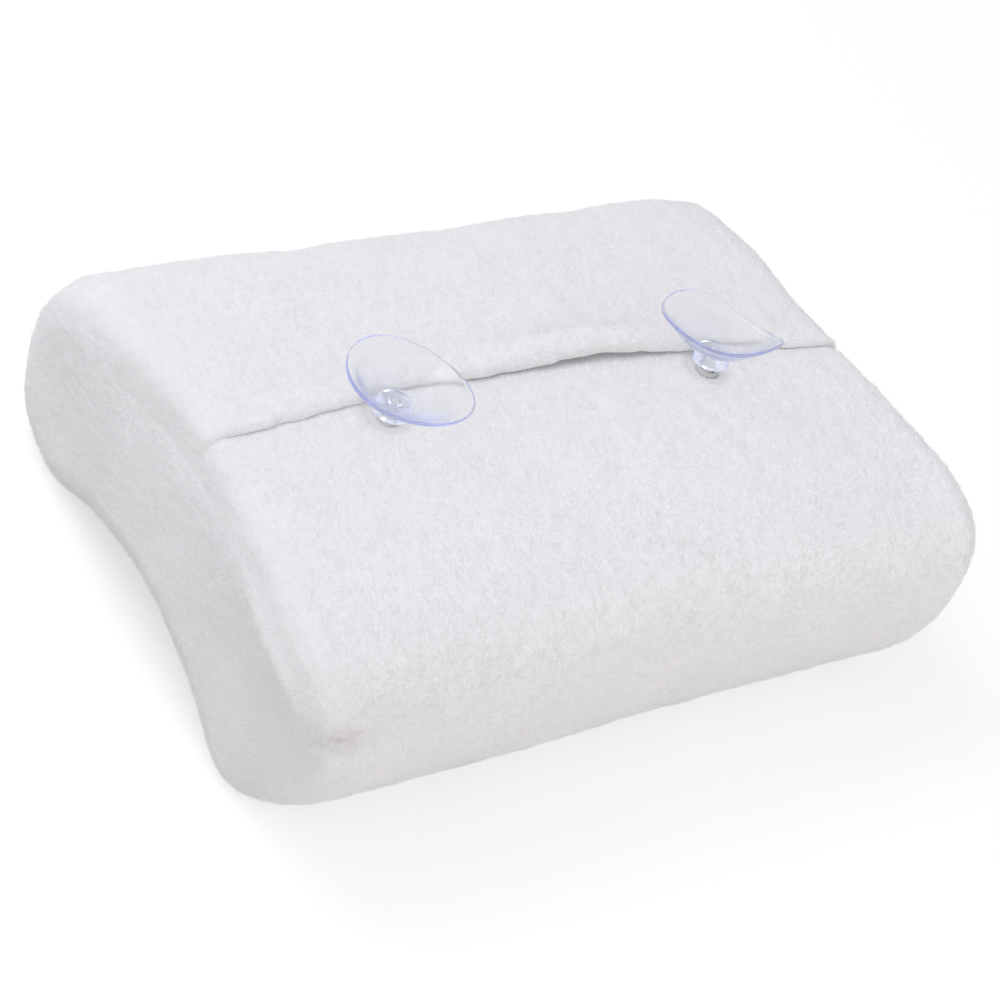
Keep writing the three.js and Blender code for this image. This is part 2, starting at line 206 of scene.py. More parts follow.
def plushPileMaterial():
    material, wire, coords = startMaterial("plushPile")
    colour = plushGrainAndPinchShade(wire, coords, plushLook["pileWhite"], plushLook["pileShade"])[0]
    front = wire.node("ShaderNodeBsdfPrincipled", None, {"Base Color": colour, **plushFinish})
    through = wire.node("ShaderNodeBsdfTranslucent", None, {"Color": colour})
    both = wire.node("ShaderNodeMixShader", None, {0: plushLook["through"], 1: front, 2: through})
    wire.node("ShaderNodeOutputMaterial", None, {"Surface": both})
    return material


def foamMaterial():
    material, wire, coords = startMaterial("memoryFoam")
    cells = wire.node("ShaderNodeTexVoronoi", None, {"Vector": coords, "Scale": 1 / (0.9 * mm)})
    tone = speckle(wire, coords, 40 * mm)
    colour = mixColour(wire, tone, (0.86, 0.78, 0.55, 1), (0.80, 0.70, 0.46, 1))
    normal = bumpOf(wire, cells, 0.6, 0.4 * mm)
    closeMaterial(wire, {"Base Color": colour, "Normal": normal, "Roughness": 0.9})
    return material


def threadMaterial(name, size, white):
    material, wire, coords = startMaterial(name)
    strands = wire.node("ShaderNodeTexWave", {"wave_type": "BANDS", "bands_direction": "DIAGONAL"},
                        {"Vector": coords, "Scale": 1 / size, "Distortion": 2.0, "Detail": 1.0}, output=1)
    fuzz = speckle(wire, coords, 0.4 * mm)
    shade = (*(0.82 * level for level in white[:3]), 1)
    colour = mixColour(wire, strands * 0.5 + fuzz * 0.3, white, shade)
    normal = bumpOf(wire, strands + fuzz * 0.4, 0.7, 0.3 * mm)
    closeMaterial(wire, {"Base Color": colour, "Normal": normal, "Roughness": 0.8, "Sheen Weight": 0.2})
    return material


def tackMaterial():
    material, wire, coords = startMaterial("tackNylon")
    cloud = speckle(wire, coords, 3 * mm)
    colour = mixColour(wire, cloud, (0.88, 0.89, 0.92, 1), (0.81, 0.83, 0.88, 1))
    normal = bumpOf(wire, cloud, 0.15, 0.2 * mm)
    closeMaterial(wire, {"Base Color": colour, "Normal": normal, "Roughness": cloud * 0.15 + 0.25})
    return material


vinylLook = {
    "body": (0.99, 1.0, 0.995, 1),
    "shadow": (0.965, 0.967, 0.975, 1),
    "depthTint": (0.50, 0.56, 0.92, 1),
    "depth": 30.0,
    "bend": 1.37,
    "haze": 0.15,
    "bounces": 24,
}


def vinylMaterial():
    look = vinylLook
    material, wire, coords = startMaterial("clearVinyl")
    flow = speckle(wire, coords, 9 * mm, 1)
    clear = wire.node("ShaderNodeBsdfPrincipled", None, {
        "Base Color": look["body"], "Roughness": flow * 0.05 + look["haze"], "IOR": look["bend"],
        "Transmission Weight": 1.0, "Normal": bumpOf(wire, flow, 0.12, 0.5 * mm),
    })
    through = wire.node("ShaderNodeBsdfTransparent", None, {"Color": look["shadow"]})
    shadowRay = wire.node("ShaderNodeLightPath", output=1)
    mixed = wire.node("ShaderNodeMixShader", None, {0: shadowRay, 1: clear, 2: through})
    tint = wire.node("ShaderNodeVolumeAbsorption", None, {
        "Color": look["depthTint"], "Density": look["depth"],
    })
    wire.node("ShaderNodeOutputMaterial", None, {"Surface": mixed, "Volume": tint})
    cycles = bpy.context.scene.cycles
    # light runs round the rim of a clear cup many times before it leaves
    cycles.max_bounces = cycles.glossy_bounces = cycles.transmission_bounces = look["bounces"]
    return material


plushCloth = plushClothMaterial()
plushPile = plushPileMaterial()
clearVinyl = vinylMaterial()
print("materials ready")


# form of the pillow: its section, and the skin round it, in millimetres

form = {
    "halfLength": 152.5,
    "endRound": 14.5,
    "endCrown": 2.8,
    "endFull": 1.2,
    "backCrown": 1.2,
    "slitBow": 9,
    "slitSkew": 3.3,
    "slitStraight": 44,
    "slitFade": 115,
    # wave of the slit, as place from -1 to 1 along it and shift towards the far edge
    "slitWave": ((-1, -0.7), (-0.78, -1.6), (-0.55, -1.0), (-0.3, -0.4), (0, -0.6), (0.12, 1.2),
                 (0.3, 1.0), (0.55, -0.4), (0.87, -1.4), (1, -0.6)),
    "waveSteps": 161,
    "waveWindow": 17,
    "waveReach": (3, 26),
    "fray": 0.8,
    "frayScale": 24,
}
# depth, height and swell of the ends, from the slit over the far edge and under the front
section = {
    "slit": (4, 91.3, -5),
    "farSlope": (64, 81.8, -1),
    "farShoulder": (95, 71, 0),
    "farEdge": (108.5, 48, 0),
    "farHeel": (97, 10, 0),
    "farFoot": (67, -0.5, 0),
    "farFlank": (37, 11, 0),
    "hollow": (0, 17.5, 0),
    "nearFlank": (-37, 11, 0),
    "nearFoot": (-74, -0.5, 0),
    "nearHeel": (-97, 16, -3),
    "nearEdge": (-108.5, 52, -2),
    "nearShoulder": (-97, 82, 5),
    "plateau": (-70, 92.3, 7),
}


# smooth closed curve through the points of the section, with its arc lengths and outward directions
def traceSection(steps=60):
    points = np.array(list(section.values()), float)
    points = np.column_stack([form["halfLength"] + points[:, 2], points[:, 0], points[:, 1]])
    before, start, end, after = (np.roll(points, shift, axis=0) for shift in (1, 0, -1, -2))
    pairs = ((before, start), (start, end), (end, after))
    step = [np.linalg.norm(second - first, axis=1, keepdims=True) ** 0.5 for first, second in pairs]
    leave = (start - before) / step[0] - (end - before) / (step[0] + step[1]) + (end - start) / step[1]
    arrive = (end - start) / step[1] - (after - start) / (step[1] + step[2]) + (after - end) / step[2]
    leave, arrive = ((way * step[1])[:, None] for way in (leave, arrive))
    start, end = start[:, None], end[:, None]
    share = (np.arange(steps) / steps)[None, :, None]
    square, cube = share**2, share**3
    curve = ((2 * cube - 3 * square + 1) * start + (cube - 2 * square + share) * leave
             + (3 * square - 2 * cube) * end + (cube - square) * arrive).reshape(-1, 3)
    closed = np.vstack([curve, curve[:1]])
    arcs = np.concatenate([[0], np.cumsum(np.linalg.norm(np.diff(closed, axis=0), axis=1))])
    run = np.roll(curve, -1, axis=0) - np.roll(curve, 1, axis=0)
    run = np.vstack([run, run[:1]])
    outward = np.column_stack([-run[:, 2], run[:, 1]])
    outward /= np.linalg.norm(outward, axis=1, keepdims=True)
    arcOf = {name: arcs[number * steps] for number, name in enumerate(section)}
    return arcs, np.column_stack([closed, outward]), arcOf


sectionArcs, sectionTable, arcOf = traceSection()
girth = sectionArcs[-1]


def sectionAt(arc):
    around = np.mod(arc, girth)
    return [np.interp(around, sectionArcs, column) for column in sectionTable.T]


def fromSlit(arc):
    ahead = np.mod(arc, girth)
    return np.where(ahead > girth / 2, ahead - girth, ahead)


def waveAlong(alongs):
    wavePlaces, waveShifts = zip(*form["slitWave"])
    window = form["waveWindow"]
    angular = np.pad(np.interp(alongs, wavePlaces, waveShifts), window // 2, "edge")
    smooth = np.convolve(angular, np.ones(window) / window, "valid")
    fray = np.array([noise.noise((along * form["frayScale"], 0.5, 0.5)) for along in alongs])
    return smooth + form["fray"] * fray


def slitShift(arc, middle):
    reach = np.abs(fromSlit(arc))
    straight = 1 - ease(reach, form["slitStraight"], form["slitFade"])
    bow = straight * (form["slitBow"] * (1 - middle**2) - form["slitSkew"] * middle)
    alongs = np.linspace(-1, 1, form["waveSteps"])
    wave = (1 - ease(reach, *form["waveReach"])) * np.interp(middle, alongs, waveAlong(alongs))
    return bow + wave


# where the cover stands fuller or pulls in: arc or section point, reach, place along, reach, height
sculpt = {
    "farLeftFull": ("farShoulder", 30, -0.76, 0.35, 1.9),
    "farInnerFull": ("farShoulder", 30, -0.16, 0.2, 0.5),
    "farMiddleFull": ("farShoulder", 30, 0.42, 0.2, 0.9),
    "farRightFull": ("farShoulder", 30, 0.82, 0.16, 1.6),
    "nearTuck": (402, 36, 0.47, 0.64, -3.7),
    "nearRightTuck": (395, 34, 1.3, 0.5, -1.0),
    "nearLeftTuck": (381, 22, -1.45, 0.45, -1.7),
    "rightFlapTuck": (30, 24, 1.45, 0.8, -1.9),
    "rightBackTuck": (500, 34, 1.45, 0.8, -1.9),
    "rightFarTuck": (80, 24, 1.3, 0.5, -1.0),
}
# the near left corner is pinched in; its place counts from where the end starts to round
cornerPinch = {"arc": 423, "arcReach": 6.5, "place": -0.5, "reach": 9.0, "depth": 2.0}
# the left edge is square beside the flap, and folds over a crisp ridge along the near half of the back
edgeFull = {"left": 1.0, "right": 0.2, "squareness": 3.4, "fadeNear": (470, 530), "fadeFar": (45, 80)}
ridge = {"along": 1.42, "backDip": 0.6, "endDip": 0.8, "span": (425, 445, 470, 530)}
# soft creases, each from and to as arc and place along, with width and depth
creases = (
    ((524, 0.40), (497, 0.46), 4.5, 0.7),
    ((505, -0.42), (498, -0.30), 4.5, 0.5),
    ((470, 0.05), (440, 0.10), 7.0, 0.5),
)
slackness = {"height": 0.25, "across": 17.0, "down": 60.0, "slice": 3.7}


def creaseDepth(arc, along):
    depth = np.zeros(np.shape(arc))
    for start, end, width, deep in creases:
        way = np.array([(end[1] - start[1]) * form["halfLength"], end[0] - start[0]])
        across = (along - start[1]) * form["halfLength"]
        down = np.mod(arc, girth) - start[0]
        share = np.clip((across * way[0] + down * way[1]) / (way @ way), 0, 1)
        away = np.hypot(across - share * way[0], down - share * way[1])
        depth += deep * hill(away, 0, width)
    return depth


def slack(arc, along):
    across = np.ravel(along) * form["halfLength"] / slackness["across"]
    down = np.ravel(arc) / slackness["down"]
    spots = zip(across, down)
    heights = np.array([noise.noise((*spot, slackness["slice"])) for spot in spots])
    return slackness["height"] * heights.reshape(np.shape(arc))


# the cover dips on both sides of the folded ridge
def ridgeDip(here, along):
    start, full, fade, end = ridge["span"]
    near = ease(here, start, full) * (1 - ease(here, fade, end)) * (along < 0)
    out = np.abs(along)
    backShare = np.clip((out - 1) / (ridge["along"] - 1), 0, 1)
    endShare = np.clip((out - ridge["along"]) / (2 - ridge["along"]), 0, 1)
    backDip = ridge["backDip"] * np.sin(math.pi * backShare) ** 2
    endDip = ridge["endDip"] * np.sin(math.pi * endShare) ** 2
    return near * (backDip + endDip)


def fullness(arc, along):
    here = np.mod(arc, girth)
    full = np.zeros(np.shape(arc))
    for place, reach, middle, spread, height in sculpt.values():
        place = arcOf.get(place, place)
        gap = np.minimum(np.abs(here - place), girth - np.abs(here - place))
        full += height * hill(gap, 0, reach) * np.exp(-((along - middle) / spread) ** 4)
    pinch = cornerPinch
    straight = form["halfLength"] - form["endRound"]
    beyond = (along + 1) * np.where(along < -1, form["endRound"] * math.pi / 2, straight)
    full -= (pinch["depth"] * hill(here, pinch["arc"], pinch["arcReach"])
             * hill(beyond, pinch["place"], pinch["reach"]))
    back = ease(here, *edgeFull["fadeNear"]) + 1 - ease(here, *edgeFull["fadeFar"])
    share = np.where(along < 0, edgeFull["left"], edgeFull["right"]) * np.clip(back, 0, 1)
    turn = np.clip(np.abs(along) - 1, 0, 1) * math.pi / 2
    power = edgeFull["squareness"]
    square = (np.cos(turn) ** power + np.sin(turn) ** power) ** (-1 / power) - 1
    return full + share * form["endRound"] * square - ridgeDip(here, along)


# point of the cover at an arc round the section and a place along, -1 to 1 between the rounded ends
def skin(arc, along, inside):
    middle = np.clip(along, -1, 1)
    inside = inside - fullness(arc, along)
    half, depth, height, outDepth, outHeight = sectionAt(arc + slitShift(arc, middle))
    turn = (along - middle) * math.pi / 2
    reach = form["endRound"] + form["backCrown"] * (1 - middle**2) * np.maximum(0, outHeight) - inside
    out = reach * np.cos(turn) - form["endRound"]
    lengthwise = middle * (half - form["endRound"]) + reach * np.sin(turn)
    lengthwise = lengthwise + form["endFull"] * (along - middle) * np.abs(along - middle)
    return np.stack([lengthwise, depth + out * outDepth, height + out * outHeight], axis=-1)


# plush wrap: from the hem of the flap right round to the part that lies under it

wrap = {
    "cloth": 2.6,
    "rows": 440,
    "columns": 260,
    "coarser": 2,
    "hemRows": 12,
    "hemFine": 4.0,
    "underlap": 24,
    "pileRise": 0.7,
    "relief": 0.75,
    "flapRise": 1.6,
    "flapRun": 40,
    "gape": 1.6,
    "gapeRun": 22,
    "gapeMiddle": 0.22,
    "gapeSpread": 0.32,
    "dipRun": 36,
    "layerGap": 3.35,
    "sewnEnds": (0.95, 1.4),
    "pressed": (0.35, 0.85),
    "pressedShare": 0.7,
    "heldRise": 1.1,
    "heldGap": 2.35,
    "heldCloth": 1.75,
    "hemRound": 2.0,
    "hemRoll": 0.9,
    "hemRollGaping": 2.2,
    "hemMiddle": 5.5,
    "hemWidth": 4.5,
    "rollSpread": (0.12, 0.42),
    "stitchDepth": (0.3, 0.5),
    "stitchLine": (13, 3),
    "pileStart": (0.5, 5),
    "seamAlong": 1.5,
    "seamLap": 0.02,
    "seamDip": 0.12,
    "seamWidth": 0.07,
    "bossClear": (7.5, 11.5),
    "eyeletWell": (4.2, 5.4),
    "wellDepth": 1.0,
    "seatReach": (7.0, 12.0),
    "seatDip": 1.1,
    "seatHeight": 15,
    "reliefStart": (0, 3),
    "foldStart": (2, 14),
    "lowest": 0.3,
    "lowestInside": 0.6,
    "pressedBelow": 2,
    "pressedPile": 0.65,
}
cupSeats = [Vector(joints[side + "_cup_spin"]["pos_m"]) / mm for side in ("left", "right")]
seatNormal = Vector((0, 0.139, 0.990))


def awayFromSeats(points, reach):
    share = np.ones(points.shape[:-1])
    for seat in cupSeats:
        offset = points - np.array(seat)
        up = offset @ np.array(seatNormal)
        side = np.linalg.norm(offset - up[..., None] * np.array(seatNormal), axis=-1)
        share = np.minimum(share, 1 - (1 - ease(side, *reach)) * (np.abs(up) < wrap["seatHeight"]))
    return share


def heldDown(along):
    pressed = ease(np.abs(along - wrap["gapeMiddle"]), *wrap["pressed"])
    return np.maximum(ease(np.abs(along), *wrap["sewnEnds"]), wrap["pressedShare"] * pressed)


# depth of the cloth below the skin, its distance from the slit, and where it lies under the flap
def clothFace(arc, along):
    under = arc >= girth
    reach = np.where(under, arc - girth, fromSlit(arc))
    sewn = heldDown(along)
    rise = (wrap["flapRise"] - wrap["heldRise"] * sewn) * (1 - ease(reach, 0, wrap["flapRun"]))
    slackShare = 1 - ease(np.abs(along - wrap["gapeMiddle"]), 0, wrap["gapeSpread"])
    gape = wrap["gape"] * slackShare * (1 - ease(reach, 0, wrap["gapeRun"]))
    gap = wrap["layerGap"] - wrap["heldGap"] * sewn
    dip = (gap - wrap["flapRise"] + wrap["heldRise"] * sewn) * (1 - ease(-reach, 0, wrap["dipRun"]))
    face = np.where(reach < 0, dip, -rise - gape)
    return np.where(under, gap - rise, face), reach, under


# the rolled hem of the flap, its stitch line and the body of the pile
def plushRise(along, reach, under):
    spread = 1 - ease(np.abs(along - wrap["gapeMiddle"]), *wrap["rollSpread"])
    loose = 1 - ease(np.abs(along), *wrap["sewnEnds"])
    rollHeight = wrap["hemRoll"] + wrap["hemRollGaping"] * spread
    roll = rollHeight * loose * hill(reach, wrap["hemMiddle"], wrap["hemWidth"])
    stitchDepth = wrap["stitchDepth"][0] + wrap["stitchDepth"][1] * spread
    stitch = stitchDepth * loose * hill(reach, *wrap["stitchLine"])
    radius = wrap["hemRound"]
    edge = radius - np.sqrt(np.maximum(0, radius**2 - np.maximum(0, radius - reach)**2))
    flap = wrap["pileRise"] + roll - stitch - edge
    lower = wrap["pileRise"] * ease(-reach, *wrap["pileStart"])
    seam = wrap["seamDip"] * hill(np.abs(along), wrap["seamAlong"], wrap["seamWidth"])
    return np.where(under, 0, np.where(reach < 0, lower, flap)) - seam


def plushFace(arc, along):
    face, reach, under = clothFace(arc, along)
    return face - plushRise(along, reach, under)


def wrapGrid(coarser=1):
    rows, columns = wrap["rows"] // coarser, wrap["columns"] // coarser
    fine = wrap["hemRows"] / wrap["rows"]
    arcEnds = [0, wrap["hemFine"], girth + wrap["underlap"]]
    arcs = np.interp(np.linspace(0, 1, rows + 1), [0, fine, 1], arcEnds)
    straight = form["halfLength"] - form["endRound"]
    edge = wrap["seamAlong"] + wrap["seamLap"]
    bend = (edge - 1) * form["endRound"] * math.pi / 2
    run = np.linspace(-straight - bend, straight + bend, columns + 1)
    alongs = np.interp(run, [-straight - bend, -straight, straight, straight + bend], [-edge, -1, 1, edge])
    return np.meshgrid(arcs, alongs, indexing="ij")


clumpForm = {"broad": 6.5, "broadShare": 0.55, "fine": 3.0, "fineShare": 0.5, "fineStretch": (1, 0.7, 1.3)}


def clumps(points):
    flat = points.reshape(-1, 3)
    broad = wavy(flat, 1 / clumpForm["broad"])
    fine = wavy(flat * clumpForm["fineStretch"], 1 / clumpForm["fine"])
    height = clumpForm["broadShare"] * broad + clumpForm["fineShare"] * fine
    return height.reshape(points.shape[:-1])


def gridInto(bm, points):
    rows, columns = points.shape[:2]
    made = bmesh.ops.create_grid(bm, x_segments=columns - 1, y_segments=rows - 1, size=1)
    for vert, place in zip(made["verts"], points.reshape(-1, 3)):
        vert.co = place
    return made["verts"]


def rimEdges(bm):
    return [edge for edge in bm.edges if edge.is_boundary]


def linerDepth(along):
    return wrap["cloth"] - wrap["heldCloth"] * heldDown(along)


# the blank of the wrap is let swell as cloth between its seams, and its puckers go on to the finished cover
swellRun = {
    "rows": 88,
    "columns": 48,
    "frames": 18,
    "quality": 6,
    "pressure": 1.0,
    "growth": 0.015,
    "highest": 0.9,
    "highestPercentile": 98,
    "seamHold": (1.15, 1.35),
    "hemHold": (2, 10),
    "underHold": (14, 4),
    "frontHold": (120, 150, 360, 390),
    "seatHold": (9, 16),
}


def heldPlaces(arc, along, bare):
    fore, foreFull, aft, aftNone = swellRun["frontHold"]
    underStart, underFull = swellRun["underHold"]
    holds = [
        ease(np.abs(along), *swellRun["seamHold"]),
        1 - ease(arc, *swellRun["hemHold"]),
        ease(arc, girth - underStart, girth - underFull),
        ease(arc, fore, foreFull) * (1 - ease(arc, aft, aftNone)),
        1 - awayFromSeats(bare, swellRun["seatHold"]),
    ]
    return np.max(holds, axis=0)


def runCloth(blank, held):
    group = blank.vertex_groups.new(name="sewn")
    for index, weight in enumerate(held.ravel()):
        group.add([index], float(weight), "REPLACE")
    cloth = blank.modifiers.new("swell", "CLOTH")
    cloth.settings.vertex_group_mass = "sewn"
    cloth.settings.quality = swellRun["quality"]
    cloth.settings.use_pressure = True
    cloth.settings.uniform_pressure_force = swellRun["pressure"]
    cloth.settings.shrink_min = -swellRun["growth"]
    cloth.settings.effector_weights.gravity = 0
    cloth.point_cache.frame_start = 1
    cloth.point_cache.frame_end = swellRun["frames"]
    for number in range(1, swellRun["frames"] + 1):
        bpy.context.scene.frame_set(number)
    return places(blank.evaluated_get(bpy.context.evaluated_depsgraph_get()).data)


def swellCover():
    arcs = np.linspace(0, girth + wrap["underlap"], swellRun["rows"] + 1)
    alongs = np.linspace(-wrap["seamAlong"], wrap["seamAlong"], swellRun["columns"] + 1)
    arc, along = np.meshgrid(arcs, alongs, indexing="ij")
    bare = skin(arc, along, clothFace(arc, along)[0])
    bm = bmesh.new()
    gridInto(bm, bare * mm)
    bm.normal_update()
    outward = np.array([vert.normal for vert in bm.verts])
    mesh = bpy.data.meshes.new("coverBlank")
    bm.to_mesh(mesh)
    bm.free()
    blank = bpy.data.objects.new("coverBlank", mesh)
    bpy.context.scene.collection.objects.link(blank)
    moved = runCloth(blank, heldPlaces(arc, along, bare)) - bare.reshape(-1, 3) * mm
    bpy.data.objects.remove(blank)
    bpy.context.scene.frame_set(1)
    swell = (moved * outward).sum(1).reshape(arc.shape)
    return arcs, alongs, swell * swellRun["highest"] / np.percentile(swell, swellRun["highestPercentile"])


# the coarse grid of puckers is read smoothly between its points
def bell(offset):
    away = np.abs(offset)
    return np.where(away < 1, 2 / 3 - away**2 + away**3 / 2, np.clip(2 - away, 0, None)**3 / 6)


def smoothBetween(arcs, alongs, grid, arc, along):
    row = np.interp(arc, arcs, np.arange(len(arcs)))
    column = np.interp(along, alongs, np.arange(len(alongs)))
    total = np.zeros(np.shape(arc))
    for down in range(-1, 3):
        for across in range(-1, 3):
            rowNow = np.floor(row).astype(int) + down
            columnNow = np.floor(column).astype(int) + across
            weight = bell(row - rowNow) * bell(column - columnNow)
            rowKept = np.clip(rowNow, 0, len(arcs) - 1)
            columnKept = np.clip(columnNow, 0, len(alongs) - 1)
            total += weight * grid[rowKept, columnKept]
    return total


coverSwell = swellCover()
puckers = coverSwell[2]
print("cover swollen: puckers from", puckers.min().round(2), "to", puckers.max().round(2), "mm")


def setPile(piece, weights):
    values = np.zeros(len(piece.data.vertices), np.float32)
    values[:len(weights)] = weights
    piece.data.attributes.new("pile", "FLOAT", "POINT").data.foreach_set("value", values)


def makeWrap():
    arc, along = wrapGrid()
    face, reach, under = clothFace(arc, along)
    bare = skin(arc, along, face)
    clear = awayFromSeats(bare, wrap["bossClear"])
    rise = plushRise(along, reach, under) * clear
    rise = rise + wrap["relief"] * clumps(bare) * ~under * clear * ease(np.abs(reach), *wrap["reliefStart"])
    folds = slack(arc, along) - creaseDepth(arc, along)
    rise = rise + folds * ~under * clear * ease(np.abs(reach), *wrap["foldStart"])
    rise = rise + smoothBetween(*coverSwell, arc, along) * ~under * clear
    rise = rise - wrap["wellDepth"] * (1 - awayFromSeats(bare, wrap["eyeletWell"]))
    rise = rise - wrap["seatDip"] * (1 - awayFromSeats(bare, wrap["seatReach"])) * ~under
    outer = skin(arc, along, face - rise)
    outer[..., 2] = np.maximum(outer[..., 2], wrap["lowest"])
    innerArc, innerAlong = wrapGrid(wrap["coarser"])
    inner = skin(innerArc, innerAlong, clothFace(innerArc, innerAlong)[0] + linerDepth(innerAlong))
    inner[..., 2] = np.maximum(inner[..., 2], wrap["lowestInside"])
    bm = bmesh.new()
    gridInto(bm, outer * mm)
    lining = set(gridInto(bm, inner * mm))
    bmesh.ops.reverse_faces(bm, faces=[face for face in bm.faces if face.verts[0] in lining])
    bmesh.ops.bridge_loops(bm, edges=rimEdges(bm))
    piece = newPiece("plushWrap", bm, plushCloth, "pillow")
    pressedFlat = outer[..., 2] < wrap["pressedBelow"]
    weight = np.where(under, 0, clear) * (1 - wrap["pressedPile"] * pressedFlat)
    setPile(piece, weight.ravel())
    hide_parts("cover_wrap")
    return piece


plushWrap = makeWrap()
print("wrap made:", len(plushWrap.data.polygons), "faces")


# crowned end panels, sewn to the wrap

endPanel = {
    "cloth": 2.6,
    "long": 200,
    "high": 70,
    "rings": 12,
    "pileRise": -0.3,
    "relief": 0.5,
}


def rimPoint(arc, sign):
    return skin(arc, np.full(np.shape(arc), 2.0 * sign), np.full(np.shape(arc), -endPanel["pileRise"]))


# a patch stretched between four stretches of the rim, and swollen in its middle
def panelPatch(sign):
    across = np.linspace(0, 1, endPanel["long"] + 1)
    up = np.linspace(0, 1, endPanel["high"] + 1)
    topArc = np.interp(across, [0, 1], [arcOf["nearShoulder"] - girth, arcOf["farShoulder"]])
    lowArc = np.interp(across, [0, 1], [arcOf["nearHeel"], arcOf["farHeel"]])
    nearArc = np.interp(up, [0, 1], [arcOf["nearHeel"], arcOf["nearShoulder"]])
    farArc = np.interp(up, [0, 1], [arcOf["farHeel"], arcOf["farShoulder"]])
    top, low = rimPoint(topArc, sign)[None], rimPoint(lowArc, sign)[None]
    near, far = rimPoint(nearArc, sign)[:, None], rimPoint(farArc, sign)[:, None]
    right, high = across[None, :, None], up[:, None, None]
    lowLine = (1 - right) * low[:, :1] + right * low[:, -1:]
    topLine = (1 - right) * top[:, :1] + right * top[:, -1:]
    corners = (1 - high) * lowLine + high * topLine
    patch = (1 - high) * low + high * top + (1 - right) * near + right * far - corners
    swell = np.sin(math.pi * across)[None] * np.sin(math.pi * up)[:, None]
    patch[..., 0] += sign * form["endCrown"] * swell
    arcs = np.zeros(patch.shape[:2])
    arcs[0], arcs[-1], arcs[:, 0], arcs[:, -1] = lowArc, topArc, nearArc, farArc
    return patch, arcs


def makeEndPanel(side, sign):
    patch, arcs = panelPatch(sign)
    bm = bmesh.new()
    arcLayer = bm.verts.layers.float.new("arc")
    for vert, arc in zip(gridInto(bm, patch * mm), arcs.ravel()):
        vert[arcLayer] = arc
    seam = wrap["seamAlong"] - wrap["seamLap"]
    for along in np.linspace(2, seam, endPanel["rings"] + 1)[1:]:
        made = bmesh.ops.extrude_edge_only(bm, edges=rimEdges(bm))["geom"]
        verts = [item for item in made if isinstance(item, bmesh.types.BMVert)]
        ringArcs = np.array([vert[arcLayer] for vert in verts])
        atSeam = plushFace(ringArcs, np.full(len(verts), wrap["seamAlong"] * sign))
        share = float(ease(2 - along, 0, 2 - wrap["seamAlong"])) ** 3
        depth = share * atSeam - (1 - share) * endPanel["pileRise"]
        ring = skin(ringArcs, np.full(len(verts), along * sign), depth)
        for vert, place in zip(verts, ring * mm):
            vert.co = place
    bmesh.ops.recalc_face_normals(bm, faces=bm.faces[:])
    if sum(face.normal.x * face.calc_area() for face in bm.faces) * sign < 0:
        bmesh.ops.reverse_faces(bm, faces=bm.faces[:])
    bm.normal_update()
    outerCount = len(bm.verts)
    heights = endPanel["relief"] * clumps(np.array([vert.co / mm for vert in bm.verts]))
    for vert, height in zip(bm.verts, heights):
        vert.co += vert.normal * height * mm
    bm.normal_update()
    copy = bmesh.ops.duplicate(bm, geom=bm.verts[:] + bm.edges[:] + bm.faces[:])["geom"]
    for vert in copy:
        if isinstance(vert, bmesh.types.BMVert):
            vert.co -= vert.normal * (endPanel["cloth"] + endPanel["pileRise"]) * mm
    bmesh.ops.reverse_faces(bm, faces=[item for item in copy if isinstance(item, bmesh.types.BMFace)])
    bmesh.ops.bridge_loops(bm, edges=rimEdges(bm))
    for vert in bm.verts:
        vert.co.z = max(vert.co.z, wrap["lowest"] * mm)
    piece = newPiece(side + "EndPlush", bm, plushCloth, "pillow")
    setPile(piece, np.ones(outerCount))
    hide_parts(side + "_end_panel")
    return piece


endPanels = [makeEndPanel("left", -1), makeEndPanel("right", 1)]
print("end panels made:", [len(piece.data.polygons) for piece in endPanels], "faces")


# pile: short blades of plush that lie combed over the cloth

pile = {
    "perSquare": 3.0e6,
    "length": (1.3, 2.4),
    "width": (0.18, 0.34),
    "lift": (0.12, 0.5),
    "roll": 0.15,
    "fold": 0.05,
    "comb": (0.2, 0.6, -0.1),
    "swirl": 22.0,
    "swirlSeed": 5,
    "swirlShare": 0.9,
    "stray": 0.35,
    "widest": 0.45,
    "sink": 0.06,
    "lowest": 0.2,
    "bareBelow": 0.1,
}


def unit(vectors):
    return vectors / np.linalg.norm(vectors, axis=1, keepdims=True)


# feet of the blades, scattered over the outside of a piece of cloth
def pileRoots(source, rng):
    mesh = source.data
    mesh.calc_loop_triangles()
    corners = np.empty(len(mesh.loop_triangles) * 3, np.int32)
    mesh.loop_triangles.foreach_get("vertices", corners)
    corners = corners.reshape(-1, 3)
    weights = np.empty(len(mesh.vertices), np.float32)
    mesh.attributes["pile"].data.foreach_get("value", weights)
    corners = corners[(weights[corners] > pile["bareBelow"]).all(1)]
    # extruded faces come in no fixed order, so they are sorted by their vertices
    corners = corners[np.lexsort(np.sort(corners, axis=1).T[::-1])]
    spots = places(mesh)
    normals = np.empty(len(mesh.vertices) * 3, np.float32)
    mesh.vertices.foreach_get("normal", normals)
    normals = normals.reshape(-1, 3).astype(float)
    first, second, third = (spots[corners[:, corner]] for corner in range(3))
    area = np.linalg.norm(np.cross(second - first, third - first), axis=1) / 2 * weights[corners].mean(1)
    count = int(area.sum() * pile["perSquare"])
    picked = corners[rng.choice(len(corners), count, p=area / area.sum())]
    share = np.sort(rng.random((count, 2)), axis=1)
    share = np.column_stack([share[:, 0], share[:, 1] - share[:, 0], 1 - share[:, 1]])
    root = (spots[picked] * share[:, :, None]).sum(1)
    normal = unit((normals[picked] * share[:, :, None]).sum(1))
    return root, normal, (weights[picked] * share).sum(1)


